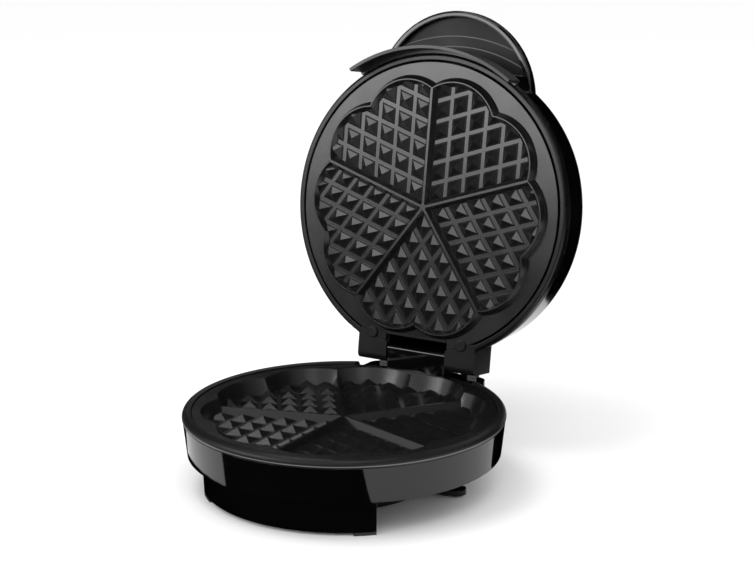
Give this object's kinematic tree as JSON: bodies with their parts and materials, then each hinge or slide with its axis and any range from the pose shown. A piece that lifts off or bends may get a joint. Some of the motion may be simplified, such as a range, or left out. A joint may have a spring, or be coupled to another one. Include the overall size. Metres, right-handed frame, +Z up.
{
  "type": "waffle maker",
  "caption": "Round electric heart-waffle maker standing open on a drum base, with a hinged lid, D-shaped handle and dial.",
  "frame": {"origin": "on the table, centred under the open waffle maker's box", "axes": "+Z up from the table, -Y towards the user (the front of the drum), +X to the user's right"},
  "size_m": [0.2358, 0.3038, 0.3326],
  "materials": {
    "gloss_black": "gloss",
    "satin_black": "satin",
    "coated_plate": "non-stick coating",
    "heater_steel": "tube",
    "shield_sheet": "sheet",
    "steel": "zinc plated",
    "phenolic": "moulded",
    "lead_sleeve": "glass sleeve",
    "pad_rubber": "matt",
    "lens_red": "clear tinted",
    "lens_green": "clear tinted",
    "board": "laminate"
  },
  "bodies": {
    "base": {"base_shell": "gloss_black", "base_rim": "satin_black", "lower_plate": "coated_plate", "lower_plate_screws": "steel", "lower_element": "heater_steel", "lower_element_clamps": "steel", "lower_heat_shield": "shield_sheet", "lower_thermostat": "phenolic", "lower_thermal_fuse": "steel", "terminal_block": "phenolic", "base_wiring": "lead_sleeve", "cord_gland": "satin_black", "bottom_cover": "satin_black", "bottom_screws": "steel", "cord_spool": "satin_black", "spool_screws": "steel", "foot_pads": "pad_rubber", "hinge_tower": "gloss_black", "hinge_pins": "steel", "tower_screws": "steel"},
    "lid": {"lid_frame": "satin_black", "lid_shell": "gloss_black", "handle_guard": "satin_black", "handle_underside": "satin_black", "upper_plate": "coated_plate", "plate_studs": "satin_black", "upper_plate_screws": "steel", "upper_element": "heater_steel", "upper_element_clamps": "steel", "upper_heat_shield": "shield_sheet", "upper_thermal_fuse": "steel", "dial_thermostat": "phenolic", "dial_nut": "steel", "lid_wiring": "lead_sleeve", "power_lamp_lens": "lens_red", "ready_lamp_lens": "lens_green", "lamp_board": "board", "lid_screws": "steel"},
    "dial": {"thermostat_dial": "satin_black"}
  },
  "joints": [
    {"name": "lid_hinge", "type": "hinge", "parent": "base", "child": "lid", "pos_m": [0, 0.07978, 0.0724], "axis": [1, 0, 0], "range_deg": [0, 98.26]},
    {"name": "dial_turn", "type": "hinge", "parent": "lid", "child": "dial", "pos_m": [0, 0.13884, 0.24955], "axis": [0, 0.9896, -0.1437], "range_deg": [-270, 0]}
  ]
}
